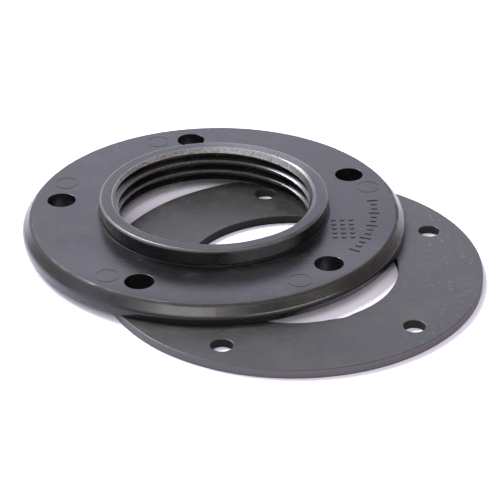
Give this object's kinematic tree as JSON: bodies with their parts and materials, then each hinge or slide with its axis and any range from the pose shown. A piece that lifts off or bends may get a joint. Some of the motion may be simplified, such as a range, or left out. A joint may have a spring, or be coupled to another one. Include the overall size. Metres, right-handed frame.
{
  "type": "toilet flange",
  "caption": "Round threaded outlet flange for a marine or caravan toilet: bevelled plate, raised collar, internal pipe thread, screw holes and a loose flat rubber gasket.",
  "frame": {"origin": "on the pipe thread's axis, at the flange's underside, which is also the gasket's top face", "axes": "+Z along the thread's axis, out of the collar; the gasket slides towards -X and +Y into register"},
  "size_m": [0.0919, 0.094, 0.0092],
  "materials": {
    "flange_plastic": "satin-gloss moulded black, turned-looking collar",
    "gasket_rubber": "matte, faintly mottled"
  },
  "bodies": {
    "flange": {"flange": "flange_plastic"},
    "gasket": {"gasket": "gasket_rubber"}
  },
  "joints": [
    {"name": "gasket_slide", "type": "slide", "parent": "flange", "child": "gasket", "axis": [-0.6603, 0.751, 0], "range_m": [0, 0.02317]}
  ]
}
